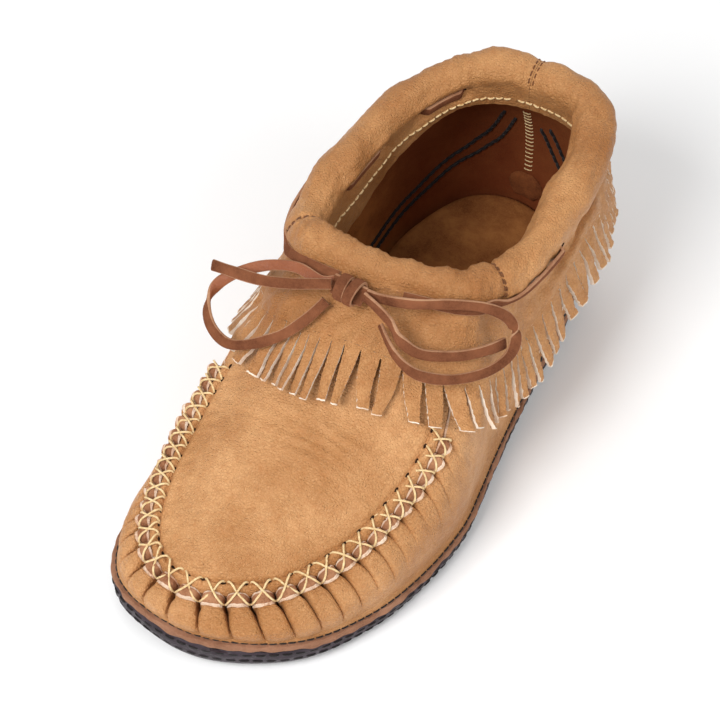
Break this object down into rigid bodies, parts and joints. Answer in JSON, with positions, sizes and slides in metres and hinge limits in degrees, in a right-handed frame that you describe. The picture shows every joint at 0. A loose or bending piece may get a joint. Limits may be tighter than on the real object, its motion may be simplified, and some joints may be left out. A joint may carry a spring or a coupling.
{
  "type": "fringed ankle moccasin",
  "caption": "Left ankle moccasin with a puckered cross-stitched plug, padded laced collar, cut leather fringe and a suede bow.",
  "frame": {"origin": "middle of the flat underside of the outsole", "axes": "-Z is the ground face's outward normal, +Y runs from the toe to the heel, +X is the outer side of the foot"},
  "size_m": [0.1182, 0.2629, 0.1121],
  "materials": {
    "tan_leather": "soft grain leather, low sheen",
    "black_leather": "near-black leather, low sheen",
    "raw_suede": "raw suede edge",
    "brown_suede": "brown suede, matt",
    "lace_suede": "brown suede thong",
    "foam": "soft foam padding",
    "cream_thread": "waxed cream thread",
    "dark_thread": "black thread",
    "tan_thread": "tan thread"
  },
  "bodies": {
    "shoe": {"outsole": "black_leather", "sole_cushion": "foam", "outsole_stitching_upper": "dark_thread", "outsole_stitching_lower": "dark_thread", "midsole": "raw_suede", "margin_filler": "foam", "insole": "brown_suede", "moccasin_wrap": "tan_leather", "vamp_plug": "tan_leather", "seam_lacing_first_pass": "cream_thread", "seam_lacing_return_pass": "cream_thread", "heel_counter": "tan_leather", "counter_stitching_lateral_outer_row": "dark_thread", "counter_stitching_lateral_inner_row": "dark_thread", "counter_stitching_medial_outer_row": "dark_thread", "counter_stitching_medial_inner_row": "dark_thread", "back_seam_ladder_stitch": "cream_thread", "heel_tab": "brown_suede", "collar_lateral": "tan_leather", "collar_front": "tan_leather", "collar_medial": "tan_leather", "collar_padding_lateral": "foam", "collar_padding_front": "foam", "collar_padding_medial": "foam", "collar_topstitching": "cream_thread", "collar_seam_stitch_back": "tan_thread", "collar_seam_stitch_lateral": "tan_thread", "collar_seam_stitch_medial": "tan_thread", "lace_knot": "lace_suede", "lace_collar_run": "lace_suede"},
    "lateral_heel_fringe": {"fringe_lateral_heel": "tan_leather"},
    "lateral_side_fringe": {"fringe_lateral_side": "tan_leather"},
    "front_lateral_fringe": {"fringe_front_lateral": "tan_leather"},
    "front_fringe": {"fringe_front": "tan_leather"},
    "front_medial_fringe": {"fringe_front_medial": "tan_leather"},
    "medial_side_fringe": {"fringe_medial_side": "tan_leather"},
    "medial_heel_fringe": {"fringe_medial_heel": "tan_leather"},
    "bow_medial": {"lace_loop_medial": "lace_suede", "lace_end_medial": "lace_suede"},
    "bow_lateral": {"lace_loop_lateral": "lace_suede", "lace_end_lateral": "lace_suede"}
  },
  "joints": [
    {"name": "lateral_heel_fringe_lift", "type": "hinge", "parent": "shoe", "child": "lateral_heel_fringe", "pos_m": [0.0337, 0.1099, 0.0747], "axis": [0.6951, -0.7181, 0.035], "range_deg": [0, 14]},
    {"name": "lateral_side_fringe_lift", "type": "hinge", "parent": "shoe", "child": "lateral_side_fringe", "pos_m": [0.0518, 0.0462, 0.0712], "axis": [0.021, -0.9872, -0.158], "range_deg": [0, 20]},
    {"name": "front_lateral_fringe_lift", "type": "hinge", "parent": "shoe", "child": "front_lateral_fringe", "pos_m": [0.048, 0.0003, 0.068], "axis": [-0.3651, -0.9003, 0.2371], "range_deg": [0, 30]},
    {"name": "front_fringe_lift", "type": "hinge", "parent": "shoe", "child": "front_fringe", "pos_m": [0.0045, -0.0211, 0.0792], "axis": [-0.9847, -0.153, 0.083], "range_deg": [0, 15]},
    {"name": "front_medial_fringe_lift", "type": "hinge", "parent": "shoe", "child": "front_medial_fringe", "pos_m": [-0.031, -0.0196, 0.0743], "axis": [-0.8276, 0.4468, -0.3398], "range_deg": [0, 12]},
    {"name": "medial_side_fringe_lift", "type": "hinge", "parent": "shoe", "child": "medial_side_fringe", "pos_m": [-0.0427, 0.0293, 0.0696], "axis": [-0.026, 0.9997, 0], "range_deg": [0, 35]},
    {"name": "medial_heel_fringe_lift", "type": "hinge", "parent": "shoe", "child": "medial_heel_fringe", "pos_m": [-0.0232, 0.1095, 0.0728], "axis": [0.6742, 0.7372, 0.045], "range_deg": [0, 10]},
    {"name": "bow_medial_lift", "type": "hinge", "parent": "shoe", "child": "bow_medial", "pos_m": [-0.006, -0.014, 0.1], "axis": [0, 1, 0], "range_deg": [0, 42]},
    {"name": "bow_lateral_lift", "type": "hinge", "parent": "shoe", "child": "bow_lateral", "pos_m": [0.006, -0.013, 0.1], "axis": [0, -1, 0], "range_deg": [0, 50]}
  ]
}
